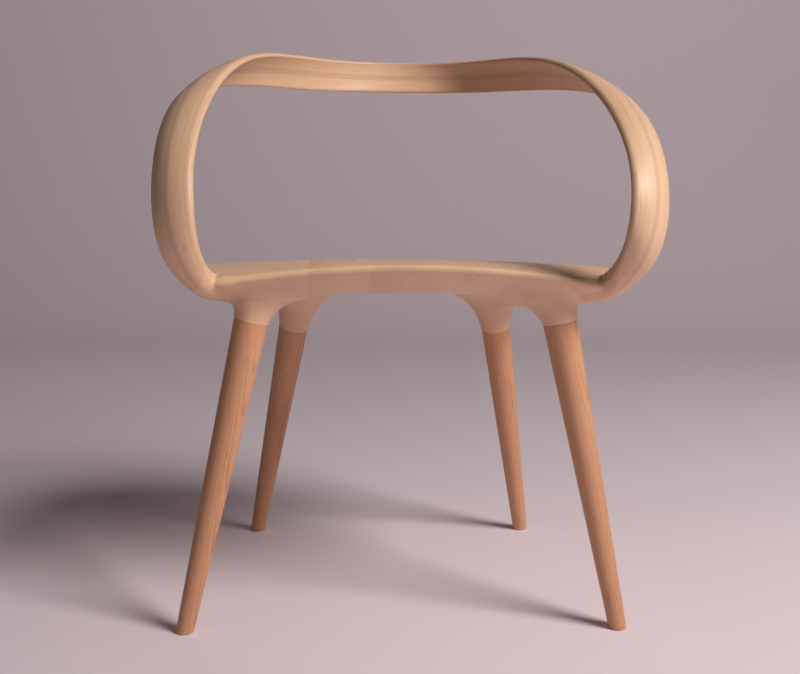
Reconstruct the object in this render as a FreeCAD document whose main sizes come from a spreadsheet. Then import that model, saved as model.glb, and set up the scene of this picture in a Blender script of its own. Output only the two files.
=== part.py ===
import FreeCAD, Part
import math
import os

import Sketcher

# An armchair carved from solid wood. A dished seat stands on four turned legs, and one twisted
# band of bent laminations leaves the front corners of the seat, sweeps forward, out and up, and
# runs round the back as arms and backrest in one piece.
#
# Frame: millimetres, +Z up, the floor at zero, the front of the chair towards -Y, and the origin
# on the floor under the middle of the whole chair. Left is the side of -X.

Vec = FreeCAD.Vector
DOC = FreeCAD.newDocument("chair")


# Driving sizes

SIZES = {
    "Seat": {
        "seat_half_width": 243,
        "seat_front_y": -196,
        "seat_depth": 395,
        "seat_bottom_height": 414.5,
        "seat_thickness": 37,
        "seat_slope_angle": 4.3,
        "seat_fall": 26,
        "seat_dish": 5,
        "seat_lip_drop": 2.1,
        "seat_lip_depth": 42,
        "seat_front_crown": 23.5,
        "seat_side_fall": 6,
        "seat_fall_power": 1.5,
        "seat_crown_power": 3,
        "seat_front_corner_radius": 40,
        "seat_back_corner_radius": 150,
        "seat_edge_round": 9,
        "seat_lower_round": 5,
        "centre_board_width": 88,
        "inner_board_width": 70,
    },
    "Legs": {
        "front_joint_side_inset": 62,
        "front_joint_end_inset": 55,
        "front_joint_drop": 31.4,
        "front_leg_splay": 83,
        "back_joint_side_inset": 99,
        "back_joint_end_inset": 55,
        "back_joint_drop": 54.9,
        "back_leg_splay": 61,
        "back_leg_rake": 113,
        "leg_top_diameter": 40.5,
        "leg_foot_diameter": 21.3,
        "leg_joint_bevel": 0.8,
        "foot_chamfer": 1.2,
        "tenon_diameter": 25,
        "tenon_end_chamfer": 2,
        "tenon_depth_in_seat": 18,
        "tenon_clearance": 0.15,
        "bore_end_room": 2,
    },
    "LegBlocks": {
        "front_block_inner_reach": 79,
        "front_block_outer_reach": 22,
        "front_block_front_reach": 30,
        "front_block_back_reach": 45,
        "back_block_inner_reach": 60,
        "back_block_outer_reach": 50,
        "back_block_front_reach": 60,
        "back_block_back_reach": 36,
    },
    "Band": {
        "band_side_overhang": 35,
        "band_front_overhang": 64,
        "band_back_inset": 2,
        "band_root_drop": 11.5,
        "band_rise": 304,
        "ply_thickness": 2.45,
        "root_ply_thickness": 4.6,
        "band_edge_ease": 2.2,
        "glue_line": 0.1,
        "band_dowel_diameter": 6,
        "band_dowel_length": 16,
        "band_dowel_spacing": 18,
        "dowel_clearance": 0.15,
        "dowel_end_room": 1,
    },
    "Cuts": {
        "overrun": 30,
    },
}

# The two edges of the band, station by station from inside the seat to the middle of the back,
# as shares of the band's half width, its depth and its rise. The upper edge leaves the seat as
# the front edge of the arm and ends as the top of the backrest, and the lower edge follows it.
UPPER_EDGE_SHARES = [
    (0.695, 0.235, 0.075),
    (0.785, 0.133, 0.098),
    (0.824, 0.000, 0.286),
    (0.835, 0.035, 0.546),
    (0.788, 0.274, 0.803),
    (0.662, 0.604, 0.974),
    (0.388, 0.891, 1.000),
    (0.000, 1.000, 0.993),
]
LOWER_EDGE_SHARES = [
    (0.725, 0.365, 0.045),
    (0.835, 0.243, 0.030),
    (0.963, 0.068, 0.181),
    (1.000, 0.079, 0.490),
    (0.960, 0.309, 0.753),
    (0.781, 0.639, 0.855),
    (0.435, 0.915, 0.862),
    (0.000, 0.991, 0.855),
]

# Where along the stations the laminations have thinned from the root to their full length
# thickness, as pairs of station and share of the way.
PLY_TAPER_SHARES = [(0.0, 0.0), (1.0, 0.0), (1.6, 0.62), (2.2, 0.92), (3.0, 1.0)]

# A leg block swells from the round of the leg to the flat under the seat. Each pair is the share
# of its height and the share of its reach.
BLOCK_RING_SHARES = [(0.0, 0.0), (0.35, 0.09), (0.70, 0.28), (0.90, 0.58), (1.0, 1.0)]

TOP_ROWS_ACROSS = 9
TOP_ROWS_ALONG = 13
BLOCK_POINTS = 16
SECTIONS_PER_SPAN = 2
PLY_COUNT = 5
SPINE_LEVEL = 2

# The station where the band's laminations meet the seat's horn
ROOT_STATION = 1.3


def make_sheet():
    """Keep every driving size in one spreadsheet, a cell and an alias each."""
    sheet = DOC.addObject("Spreadsheet::Sheet", "Sizes")
    row = 1
    for group, sizes in SIZES.items():
        sheet.set("A%d" % row, group)
        row += 1
        for name, value in sizes.items():
            sheet.set("A%d" % row, name)
            sheet.set("B%d" % row, str(value))
            sheet.setAlias("B%d" % row, name)
            row += 1
    DOC.recompute()
    return sheet


SHEET = make_sheet()


def make_places():
    """Lengths worked out from the driving sizes, for the leg profiles to follow."""
    sheet = DOC.addObject("Spreadsheet::Sheet", "Places")
    slope = "tan(Sizes.seat_slope_angle * 1 deg)"
    front_y = "Sizes.front_joint_end_inset"
    back_y = "(Sizes.seat_depth - Sizes.back_joint_end_inset)"
    row = 1
    for name, from_front, rake in (("front", front_y, "0"), ("back", back_y, "Sizes.back_leg_rake")):
        drop = "Sizes.%s_joint_drop" % name
        splay = "Sizes.%s_leg_splay" % name
        height = "(Sizes.seat_bottom_height - %s * %s - %s)" % (slope, from_front, drop)
        run = "sqrt(%s ^ 2 + %s ^ 2 + %s ^ 2)" % (height, splay, rake)
        block = "%s * %s / (%s - %s * %s)" % (drop, run, height, slope, rake)
        for alias, formula in ((name + "_leg_run", run), (name + "_block_run", block)):
            sheet.set("A%d" % row, alias)
            sheet.set("B%d" % row, "=" + formula)
            sheet.setAlias("B%d" % row, alias)
            row += 1
    DOC.recompute()
    return sheet


PLACES = make_places()


def size(name):
    return float(SHEET.get(name))


def add_feature(name, shape):
    """A part feature with a free form, placed after its shape is set."""
    feature = DOC.addObject("Part::Feature", name)
    feature.Shape = shape
    feature.Placement = FreeCAD.Placement()
    return feature


def unit(vector):
    return vector * (1 / vector.Length)


def mix(start, end, share):
    return start + (end - start) * share


def follow(pairs, at):
    """Read a value from a list of pairs, along straight lines between them."""
    for (low, first), (high, second) in zip(pairs, pairs[1:]):
        if at <= high:
            return mix(first, second, max(at - low, 0) / (high - low))
    return pairs[-1][1]


def closed_curve(points):
    """One smooth closed edge through the points."""
    curve = Part.BSplineCurve()
    curve.interpolate(Points=points, PeriodicFlag=True)
    return Part.Wire([curve.toShape()])


def bowed_line(start, bow, end):
    """A shallow arch from start to end, whose middle is lifted by the vector bow."""
    curve = Part.BezierCurve()
    curve.setPoles([start, (start + end) * 0.5 + bow * 2, end])
    return curve.toShape()


# Seat form

def seat_top(x, y):
    """Height of the carved top: a lip in front, a fall to the back, a dish, and lower sides."""
    depth = size("seat_depth")
    lip = size("seat_lip_depth")
    from_front = y - size("seat_front_y")
    height = size("seat_bottom_height") + size("seat_thickness")
    if from_front < lip:
        height -= size("seat_lip_drop") * ((lip - from_front) / lip) ** 2
    else:
        share = min((from_front - lip) / (depth - lip), 1)
        height -= size("seat_fall") * share ** size("seat_fall_power")
        height -= size("seat_dish") * math.sin(math.pi * share) ** 2
    share = min(max(from_front / depth, 0), 1)
    crown = size("seat_front_crown") * (1 - share) ** size("seat_crown_power")
    sides = size("seat_side_fall") * share
    return height - (crown + sides) * (x / size("seat_half_width")) ** 2


def seat_bottom(y):
    """Height of the flat underside, which falls to the back."""
    slope = math.tan(math.radians(size("seat_slope_angle")))
    return size("seat_bottom_height") - slope * (y - size("seat_front_y"))


def seat_waste_shape():
    """What the carving takes off: everything above a smooth surface through the top's heights."""
    past = size("overrun")
    half_width = size("seat_half_width") + past
    front = size("seat_front_y") - past
    back = size("seat_front_y") + size("seat_depth") + past
    rows = []
    for i in range(TOP_ROWS_ACROSS):
        x = mix(-half_width, half_width, i / (TOP_ROWS_ACROSS - 1))
        row = []
        for j in range(TOP_ROWS_ALONG):
            y = mix(front, back, j / (TOP_ROWS_ALONG - 1))
            row.append(Vec(x, y, seat_top(x, y)))
        rows.append(row)
    surface = Part.BSplineSurface()
    surface.interpolate(rows)
    return surface.toShape().extrude(Vec(0, 0, size("seat_thickness") + 2 * past))


def edge_numbers(shape, wanted):
    """Numbers of the edges of a shape that are among the wanted ones."""
    return [i for i, edge in enumerate(shape.Edges, 1) if any(edge.isSame(other) for other in wanted)]


def rounded(name, base, rounds):
    """A fillet over several groups of edges, each a pair of edge numbers and radius."""
    result = DOC.addObject("Part::Fillet", name)
    result.Base = base
    result.Edges = [(number, radius, radius) for numbers, radius in rounds for number in numbers]
    DOC.recompute()
    return result


def make_seat():
    """A sloping slab with rounded corners, its top carved away and its edges rounded over."""
    slab = DOC.addObject("Part::Box", "seat_slab")
    slab.setExpression("Length", "2 * Sizes.seat_half_width")
    slab.setExpression("Width", "Sizes.seat_depth")
    slab.setExpression("Height", "Sizes.seat_thickness + Sizes.overrun")
    corner = Vec(-size("seat_half_width"), size("seat_front_y"), size("seat_bottom_height"))
    slab.Placement = FreeCAD.Placement(corner, FreeCAD.Rotation(Vec(1, 0, 0), -size("seat_slope_angle")))
    DOC.recompute()
    middle = size("seat_front_y") + size("seat_depth") / 2
    upright = [e for e in slab.Shape.Edges if e.BoundBox.ZLength > size("seat_thickness")]
    front = edge_numbers(slab.Shape, [e for e in upright if e.BoundBox.Center.y < middle])
    back = edge_numbers(slab.Shape, [e for e in upright if e.BoundBox.Center.y > middle])
    radii = (size("seat_front_corner_radius"), size("seat_back_corner_radius"))
    plan = rounded("seat_plan", slab, [(front, radii[0]), (back, radii[1])])
    carved = cut("seat_carved", plan, add_feature("seat_waste", seat_waste_shape()))
    DOC.recompute()
    top = [f for f in carved.Shape.Faces if f.Surface.TypeId == "Part::GeomBSplineSurface"]
    under = min(carved.Shape.Faces, key=lambda f: f.CenterOfMass.z)
    rim = edge_numbers(carved.Shape, [e for f in top for e in f.OuterWire.Edges])
    foot = edge_numbers(carved.Shape, under.OuterWire.Edges)
    return rounded("seat_form", carved, [(rim, size("seat_edge_round")), (foot, size("seat_lower_round"))])


# Band form

class Band:
    """The two edges of the band as smooth curves, and its section at any station."""

    def __init__(self):
        self.half_span = size("seat_half_width") + size("band_side_overhang")
        self.front = size("seat_front_y") - size("band_front_overhang")
        self.depth = size("band_front_overhang") + size("seat_depth") - size("band_back_inset")
        self.low = size("seat_bottom_height") - size("band_root_drop")
        self.upper = self.edge_curve(UPPER_EDGE_SHARES)
        self.lower = self.edge_curve(LOWER_EDGE_SHARES)
        self.last = 2 * (len(UPPER_EDGE_SHARES) - 1)

    def edge_curve(self, shares):
        """The right half is mirrored, so one curve runs from seat corner to seat corner."""
        half = []
        for across, back, up in shares:
            x = self.half_span * across
            y = self.front + self.depth * back
            z = self.low + size("band_rise") * up
            half.append(Vec(x, y, z))
        whole = half + [Vec(-p.x, p.y, p.z) for p in half[-2::-1]]
        curve = Part.BSplineCurve()
        curve.interpolate(Points=whole, Parameters=[float(i) for i in range(len(whole))])
        return curve

    def frame(self, station):
        """Middle, half width, direction across, outward direction and run of the band."""
        first = self.upper.value(station)
        second = self.lower.value(station)
        run = self.upper.tangent(station)[0] + self.lower.tangent(station)[0]
        across = unit(second - first)
        outward = unit(across.cross(run))
        return (first + second) * 0.5, (second - first).Length / 2, across, outward, outward.cross(across)

    def ply(self, station):
        """Thickness of one lamination, which tapers away from each root."""
        from_root = min(station, self.last - station)
        return mix(size("root_ply_thickness"), size("ply_thickness"), follow(PLY_TAPER_SHARES, from_root))

    def stations(self, start, end):
        count = round((end - start) * SECTIONS_PER_SPAN)
        return [start + (end - start) * i / count for i in range(count + 1)]


BAND = Band()


def section_reach(half, level):
    """How far the band's outline reaches at a level, counted in laminations from the inner face.

    The inner face is crowned by one lamination, the outer face by two, and the two laminations
    between them carry the eased edges.
    """
    flank = half - size("band_edge_ease")
    if level <= 1:
        return flank * math.sqrt(level)
    if level <= 2:
        return mix(flank, half, level - 1)
    if level <= 3:
        return mix(half, flank, level - 2)
    return flank * math.sqrt((PLY_COUNT - level) / 2)


def section_point(station, level, side):
    """A point of the band's outline, at the upper edge for side -1 and the lower one for 1."""
    middle, half, across, outward, _ = BAND.frame(station)
    reach = section_reach(half, level)
    return middle + across * (side * reach) + outward * ((level - SPINE_LEVEL) * BAND.ply(station))


def crowned_face(station, level, outermost, start_side):
    """The bowed face of the band, inner or outer, between its two points at the level."""
    _, _, _, outward, _ = BAND.frame(station)
    start = section_point(station, level, start_side)
    end = section_point(station, level, -start_side)
    return bowed_line(start, outward * ((outermost - level) * BAND.ply(station)), end)


def ply_section(station, layer):
    """Closed wire round one lamination, drawn in by half a glue line where it meets another."""
    half_line = size("glue_line") / 2 / BAND.ply(station)
    innermost = layer == 0
    outermost = layer == PLY_COUNT - 1
    low = layer if innermost else layer + half_line
    high = layer + 1 if outermost else layer + 1 - half_line
    corners = {}
    for level in (low, high):
        for side in (-1, 1):
            corners[level, side] = section_point(station, level, side) if 0 < level < PLY_COUNT else None
    if innermost:
        crown = crowned_face(station, high, 0, -1)
        return Part.Wire([crown, Part.makeLine(corners[high, 1], corners[high, -1])])
    if outermost:
        crown = crowned_face(station, low, PLY_COUNT, -1)
        return Part.Wire([crown, Part.makeLine(corners[low, 1], corners[low, -1])])
    loop = [corners[low, -1], corners[low, 1], corners[high, 1], corners[high, -1], corners[low, -1]]
    return Part.makePolygon(loop)


def ply_shape(layer):
    stations = BAND.stations(ROOT_STATION, BAND.last - ROOT_STATION)
    return Part.makeLoft([ply_section(s, layer) for s in stations], True)


def horn_section(station):
    """Closed wire round the whole band, for the seat corner that meets it."""
    levels = range(1, PLY_COUNT)
    lower = [section_point(station, level, 1) for level in levels]
    upper = [section_point(station, level, -1) for level in reversed(levels)]
    inner = crowned_face(station, levels[0], 0, -1)
    outer = crowned_face(station, levels[-1], PLY_COUNT, 1)
    edges = [inner] + Part.makePolygon(lower).Edges + [outer] + Part.makePolygon(upper).Edges
    return Part.Wire(edges)


def horn_shape(side):
    """The seat corner from inside the seat to the band's root, at side 1 or -1."""
    wires = [horn_section(s) for s in BAND.stations(0, ROOT_STATION)]
    horn = Part.makeLoft(wires, True)
    if side < 0:
        horn = horn.mirror(Vec(0, 0, 0), Vec(1, 0, 0))
    return horn


# Legs and their blocks

class LegPlace:
    """Where one leg stands: its shoulder under the seat, its foot and its axis."""

    def __init__(self, row, side):
        self.row = row
        self.side = side
        x = size("seat_half_width") - size(row + "_joint_side_inset")
        y = size("seat_front_y") + size("front_joint_end_inset")
        rake = 0
        if row == "back":
            y = size("seat_front_y") + size("seat_depth") - size("back_joint_end_inset")
            rake = size("back_leg_rake")
        self.joint = Vec(side * x, y, seat_bottom(y) - size(row + "_joint_drop"))
        self.foot = Vec(side * (x + size(row + "_leg_splay")), y + rake, 0)
        self.run = (self.joint - self.foot).Length
        self.axis = unit(self.joint - self.foot)
        slope = math.tan(math.radians(size("seat_slope_angle")))
        self.block_height = size(row + "_joint_drop") / (self.axis.z + slope * self.axis.y)
        self.seat_point = self.joint + self.axis * self.block_height

    def placement(self):
        turn = FreeCAD.Rotation(Vec(0, 0, 1), self.axis)
        return FreeCAD.Placement(self.joint, turn)


def sides():
    return (("left", -1), ("right", 1))


def leg_places():
    for row in ("front", "back"):
        for side_name, side in sides():
            yield row, side_name, LegPlace(row, side)


def block_ring(place, height_share, reach_share):
    """One ring of a leg block, from the leg's round to its footprint under the seat."""
    radius = size("leg_top_diameter") / 2
    row = place.row
    level_x = unit(Vec(place.axis.z, 0, -place.axis.x))
    level_y = place.axis.cross(level_x)
    shift = (place.seat_point - place.joint) * height_share
    points = []
    for step in range(BLOCK_POINTS):
        angle = 2 * math.pi * step / BLOCK_POINTS
        cos, sin = math.cos(angle), math.sin(angle)
        outer = cos * place.side > 0
        reach_x = size(row + ("_block_outer_reach" if outer else "_block_inner_reach"))
        reach_y = size(row + ("_block_back_reach" if sin > 0 else "_block_front_reach"))
        reach = (reach_x * cos ** 2 + reach_y * sin ** 2) * reach_share
        start = place.joint + (level_x * cos + level_y * sin) * radius
        x = start.x + shift.x + cos * reach
        y = start.y + shift.y + sin * reach
        points.append(Vec(x, y, mix(start.z, seat_bottom(y), height_share)))
    return closed_curve(points)


def block_shape(place):
    return Part.makeLoft([block_ring(place, *shares) for shares in BLOCK_RING_SHARES], True)


def draw_profile(body, name, points):
    """A closed profile in the body's XZ plane whose corners are bound to expressions.

    Each corner is a start value and an expression along X, then the same along Z.
    """
    sketch = body.newObject("Sketcher::SketchObject", name)
    plane = next(f for f in body.Origin.OriginFeatures if f.Role == "XZ_Plane")
    sketch.AttachmentSupport = [(plane, "")]
    sketch.MapMode = "FlatFace"
    corners = [Vec(x, z, 0) for x, _, z, _ in points]
    for start, end in zip(corners, corners[1:] + corners[:1]):
        sketch.addGeometry(Part.LineSegment(start, end), False)
    count = len(corners)
    for i in range(count):
        sketch.addConstraint(Sketcher.Constraint("Coincident", i, 2, (i + 1) % count, 1))
    for i, (x, x_formula, z, z_formula) in enumerate(points):
        for kind, value, formula, axis in (("DistanceX", x, x_formula, -2), ("DistanceY", z, z_formula, -1)):
            if formula is None:
                sketch.addConstraint(Sketcher.Constraint("PointOnObject", i, 1, axis))
            else:
                index = sketch.addConstraint(Sketcher.Constraint(kind, -1, 1, i, 1, value))
                sketch.setExpression("Constraints[%d]" % index, formula)
    return sketch


def leg_body(name, place):
    """A turned leg: a long taper, a shoulder and a round tenon, turned about its own axis."""
    body = DOC.addObject("PartDesign::Body", name + "_turning")
    run = "Places.%s_leg_run" % place.row
    tenon_run = "(Places.%s_block_run + Sizes.tenon_depth_in_seat)" % place.row
    taper = "(Sizes.leg_top_diameter - Sizes.leg_foot_diameter) / 2"
    top = size("leg_top_diameter") / 2
    bevel = size("leg_joint_bevel")
    tenon = size("tenon_diameter") / 2
    tenon_length = place.block_height + size("tenon_depth_in_seat")
    end = size("leg_foot_diameter") / 2 - (top - size("leg_foot_diameter") / 2) * size("overrun") / place.run
    low = -place.run - size("overrun")
    points = [
        (0, None, tenon_length, tenon_run),
        (tenon - size("tenon_end_chamfer"), "Sizes.tenon_diameter / 2 - Sizes.tenon_end_chamfer",
         tenon_length, tenon_run),
        (tenon, "Sizes.tenon_diameter / 2",
         tenon_length - size("tenon_end_chamfer"), tenon_run + " - Sizes.tenon_end_chamfer"),
        (tenon, "Sizes.tenon_diameter / 2", 0, None),
        (top - bevel, "Sizes.leg_top_diameter / 2 - Sizes.leg_joint_bevel", 0, None),
        (top, "Sizes.leg_top_diameter / 2", -bevel, "-Sizes.leg_joint_bevel"),
        (end, "Sizes.leg_foot_diameter / 2 - %s * Sizes.overrun / %s" % (taper, run),
         low, "-%s - Sizes.overrun" % run),
        (0, None, low, "-%s - Sizes.overrun" % run),
    ]
    sketch = draw_profile(body, name + "_profile", points)
    turning = body.newObject("PartDesign::Revolution", name + "_revolution")
    turning.Profile = sketch
    turning.ReferenceAxis = (sketch, ["V_Axis"])
    turning.Angle = 360
    body.Tip = turning
    body.Placement = place.placement()
    return body


def floor_box():
    """The floor as a block, which trims each leg flat."""
    box = DOC.addObject("Part::Box", "floor_trim")
    box.setExpression("Length", "4 * Sizes.seat_half_width")
    box.setExpression("Width", "4 * Sizes.seat_depth")
    box.setExpression("Height", "4 * Sizes.overrun")
    box.setExpression("Placement.Base.x", "-2 * Sizes.seat_half_width")
    box.setExpression("Placement.Base.y", "-2 * Sizes.seat_depth")
    box.setExpression("Placement.Base.z", "-4 * Sizes.overrun")
    return box


def make_leg(name, place, floor):
    body = leg_body(name, place)
    trimmed = cut(name + "_trimmed", body, floor)
    DOC.recompute()
    chamfer = size("foot_chamfer")
    edges = []
    for index, edge in enumerate(trimmed.Shape.Edges, 1):
        if edge.BoundBox.ZMax < chamfer:
            edges.append((index, chamfer, chamfer))
    leg = DOC.addObject("Part::Chamfer", name)
    leg.Base = trimmed
    leg.Edges = edges
    return leg


def bore(name, place):
    """The hole for a leg's tenon, through the block and into the seat."""
    tool = DOC.addObject("Part::Cylinder", name)
    tool.setExpression("Radius", "Sizes.tenon_diameter / 2 + Sizes.tenon_clearance")
    start = size("overrun")
    tool.Height = start + place.block_height + size("tenon_depth_in_seat") + size("bore_end_room")
    turn = FreeCAD.Rotation(Vec(0, 0, 1), place.axis)
    tool.Placement = FreeCAD.Placement(place.joint - place.axis * start, turn)
    return tool


# Dowels at the band's roots

def dowel_points(side):
    """The two dowels of one root: where each crosses the joint, and their direction."""
    middle, _, across, outward, run = BAND.frame(ROOT_STATION)
    middle = middle + outward * (0.5 * BAND.ply(ROOT_STATION))
    points = []
    for way in (-1, 1):
        point = middle + across * (way * size("band_dowel_spacing") / 2)
        points.append(Vec(side * point.x, point.y, point.z))
    return points, Vec(side * run.x, run.y, run.z)


def dowel(name, point, run, hole):
    """One dowel, or the hole that takes it, half on each side of the joint."""
    tool = DOC.addObject("Part::Cylinder", name)
    room = size("dowel_end_room") if hole else 0
    length = size("band_dowel_length") + 2 * room
    if hole:
        tool.setExpression("Radius", "Sizes.band_dowel_diameter / 2 + Sizes.dowel_clearance")
        tool.setExpression("Height", "Sizes.band_dowel_length + 2 * Sizes.dowel_end_room")
    else:
        tool.setExpression("Radius", "Sizes.band_dowel_diameter / 2")
        tool.setExpression("Height", "Sizes.band_dowel_length")
    tool.Placement = FreeCAD.Placement(point - run * (length / 2), FreeCAD.Rotation(Vec(0, 0, 1), run))
    return tool


def compound(name, objects):
    group = DOC.addObject("Part::Compound", name)
    group.Links = objects
    return group


def cut(name, base, tool):
    result = DOC.addObject("Part::Cut", name)
    result.Base = base
    result.Tool = tool
    return result


# Seat boards

def board_limits():
    """X of each glue joint between the seat's five boards, as pairs of start and width."""
    middle = "Sizes.centre_board_width / 2"
    inner = "(%s + Sizes.inner_board_width)" % middle
    far = "(Sizes.seat_half_width + Sizes.overrun)"
    return [
        ("-" + far, "%s - %s" % (far, inner)),
        ("-" + inner, "Sizes.inner_board_width"),
        ("-" + middle, "Sizes.centre_board_width"),
        (middle, "Sizes.inner_board_width"),
        (inner, "%s - %s" % (far, inner)),
    ]


def make_boards(seat, horns, holes):
    """The seat form parted at its glue joints, with a horn on each outer board and holes cut."""
    boards = []
    for number, (start, width) in enumerate(board_limits(), 1):
        name = "seat_board_%d" % number
        blank = DOC.addObject("Part::Box", "board_blank_%d" % number)
        blank.setExpression("Length", width)
        blank.setExpression("Width", "Sizes.seat_depth + 2 * Sizes.overrun")
        blank.setExpression("Height", "Sizes.seat_bottom_height")
        blank.setExpression("Placement.Base.x", start)
        blank.setExpression("Placement.Base.y", "Sizes.seat_front_y - Sizes.overrun")
        blank.setExpression("Placement.Base.z", "Sizes.seat_bottom_height / 2")
        form = DOC.addObject("Part::Common", "board_form_%d" % number)
        form.Base = seat
        form.Tool = blank
        if number in horns:
            fuse = DOC.addObject("Part::MultiFuse", "board_with_horn_%d" % number)
            fuse.Shapes = [form, horns[number]]
            form = fuse
        if number in holes:
            form = cut(name, form, compound("board_holes_%d" % number, holes[number]))
        boards.append((name, form))
    return boards


def check(objects):
    """Stop before anything is written if a feature failed or a sub-part is empty or broken."""
    for item in DOC.Objects:
        if "Invalid" in item.State or "Error" in item.State:
            raise RuntimeError("feature %s failed: %s" % (item.Name, item.State))
    for name, item in objects:
        if item.Shape.isNull() or not item.Shape.isValid():
            raise RuntimeError("sub-part %s has no valid shape" % name)


def build():
    parts = []
    floor = floor_box()

    horns = {name: add_feature("seat_horn_" + name, horn_shape(side)) for name, side in sides()}
    bores = {}
    for row, side_name, place in leg_places():
        name = "%s_%s" % (row, side_name)
        bores[name] = bore("bore_" + name, place)
        parts.append(("leg_" + name, make_leg("leg_" + name, place, floor)))
        block = add_feature("block_form_" + name, block_shape(place))
        taken = compound("block_room_" + name, [bores[name], horns[side_name]])
        parts.append(("leg_block_" + name, cut("leg_block_" + name, block, taken)))

    dowel_holes = {}
    for side_name, side in sides():
        points, run = dowel_points(side)
        pins = []
        holes = []
        for number, point in enumerate(points, 1):
            tag = "%s_%d" % (side_name, number)
            pins.append(dowel("dowel_" + tag, point, run, False))
            holes.append(dowel("dowel_hole_" + tag, point, run, True))
        parts.append(("band_dowels_" + side_name, compound("band_dowels_" + side_name, pins)))
        dowel_holes[side_name] = holes

    board_count = len(board_limits())
    board_horns = {}
    board_holes = {}
    for side_name, outer, inner in (("left", 1, 2), ("right", board_count, board_count - 1)):
        leg_bores = [bores["front_" + side_name], bores["back_" + side_name]]
        board_horns[outer] = horns[side_name]
        board_holes[outer] = leg_bores + dowel_holes[side_name]
        board_holes[inner] = leg_bores
    parts += make_boards(make_seat(), board_horns, board_holes)

    all_holes = compound("band_dowel_holes", dowel_holes["left"] + dowel_holes["right"])
    for layer in range(PLY_COUNT):
        name = "band_ply_%d" % (layer + 1)
        blank = add_feature(name + "_blank", ply_shape(layer))
        parts.append((name, cut(name, blank, all_holes)))

    DOC.recompute()
    check(parts)
    return parts


def write(parts):
    os.makedirs("parts", exist_ok=True)
    for name, item in parts:
        item.Label = name
        item.Shape.exportStep("parts/%s.step" % name)
        box = item.Shape.BoundBox
        print("%-24s solids %d  volume %9.0f  z %6.1f to %6.1f" % (
            name, len(item.Shape.Solids), item.Shape.Volume, box.ZMin, box.ZMax))


write(build())
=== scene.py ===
import itertools
import math

import bmesh
import bpy
import numpy as np
from mathutils import Matrix, Vector


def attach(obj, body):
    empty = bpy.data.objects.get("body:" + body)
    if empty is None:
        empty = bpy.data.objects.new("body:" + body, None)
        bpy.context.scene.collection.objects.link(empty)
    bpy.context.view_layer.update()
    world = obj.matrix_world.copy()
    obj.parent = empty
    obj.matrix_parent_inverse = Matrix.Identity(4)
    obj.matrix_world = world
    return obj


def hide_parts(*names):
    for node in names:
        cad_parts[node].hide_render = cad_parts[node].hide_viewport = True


# A carved wooden armchair. The seat, its corners, the blocks over the legs and the twisted band
# flow into each other, so their skin is one surface, worked out as a distance field. Its grain
# changes from board to board. Lengths are in metres. +Z is up and the front looks to -Y.

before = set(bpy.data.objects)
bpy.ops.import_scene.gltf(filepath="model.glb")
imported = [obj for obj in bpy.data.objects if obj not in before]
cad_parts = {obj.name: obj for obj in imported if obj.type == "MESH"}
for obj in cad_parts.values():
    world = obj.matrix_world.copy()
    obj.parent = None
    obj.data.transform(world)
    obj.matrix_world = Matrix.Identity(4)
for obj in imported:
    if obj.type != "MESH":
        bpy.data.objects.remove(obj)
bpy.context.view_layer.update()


# Seat: plan and top

SEAT_HALF_WIDTH = 0.243
SEAT_SIDE_SWELL = 0.003
SEAT_FRONT_Y = -0.196
SEAT_DEPTH = 0.395
SEAT_FRONT_CORNER_RADIUS = 0.040
SEAT_BACK_CORNER_RADIUS = 0.150
CENTRE_BOARD_WIDTH = 0.088
INNER_BOARD_WIDTH = 0.070

SEAT_BOTTOM_HEIGHT = 0.4145
SEAT_THICKNESS = 0.037
SEAT_SLOPE = math.tan(math.radians(4.3))
SEAT_FALL = 0.026
SEAT_FALL_POWER = 1.5
SEAT_DISH = 0.005
SEAT_LIP_DROP = 0.0021
SEAT_LIP_DEPTH = 0.042
SEAT_FRONT_CROWN = 0.0235
SEAT_CROWN_POWER = 5
SEAT_SIDE_FALL = 0.012

# Seat: edge and carved underside. Each span behind the front edge is where the front's value
# turns into the side's.
SEAT_EDGE_ROUND = 0.009
FRONT_EDGE_ROUND = 0.0035
EDGE_ROUND_SPAN = (0.06, 0.20)
SEAT_LOWER_ROUND = 0.007
FRONT_LOWER_ROUND = 0.0035
LOWER_ROUND_SPAN = (0.01, 0.05)
SIDE_LIP = 0.015
FRONT_LIP = 0.0075
LIP_SPAN = (0.04, 0.22)
CORNER_RIM_SPAN = (0.01, 0.10)
CORNER_RIM_FROM_MIDDLE = (0.15, 0.24)
SIDE_RIM_SPAN = (0.10, 0.20)
UNDERCUT_DEPTH = 0.095
UNDERCUT_POWER = 2.0
UNDERCUT_SHARES = (-0.3, 1)

# The underside is lower along a line from each front leg to the back leg behind it
RAIL_DROP = 0.020
RAIL_WIDTH = 0.050
RAIL_FRONT = (0.181, -0.141)
RAIL_BACK = (0.144, 0.144)
RAIL_FRONT_FADE = (-0.1, 0.2)
RAIL_BACK_FADE = (1.1, 0.8)

# Band

BAND_HALF_SPAN = SEAT_HALF_WIDTH + 0.0365
BAND_FRONT_OVERHANG = 0.064
BAND_BACK_INSET = 0.002
BAND_FRONT_Y = SEAT_FRONT_Y - BAND_FRONT_OVERHANG
BAND_DEPTH = BAND_FRONT_OVERHANG + SEAT_DEPTH - BAND_BACK_INSET
BAND_LOW = SEAT_BOTTOM_HEIGHT - 0.0115
BAND_RISE = 0.304
PLY_THICKNESS = 0.00245
ROOT_PLY_THICKNESS = 0.0038
PLY_COUNT = 5
SPINE_LEVEL = 2
ROOT_STATION = 1.3

# Cupped and domed faces of the band, in laminations, with rounded edges
BAND_EDGE_EASE = 0.0022
INNER_CROWN = -1.2
OUTER_CROWN = 2.7
EDGE_ROUND = 0.0036

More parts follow.
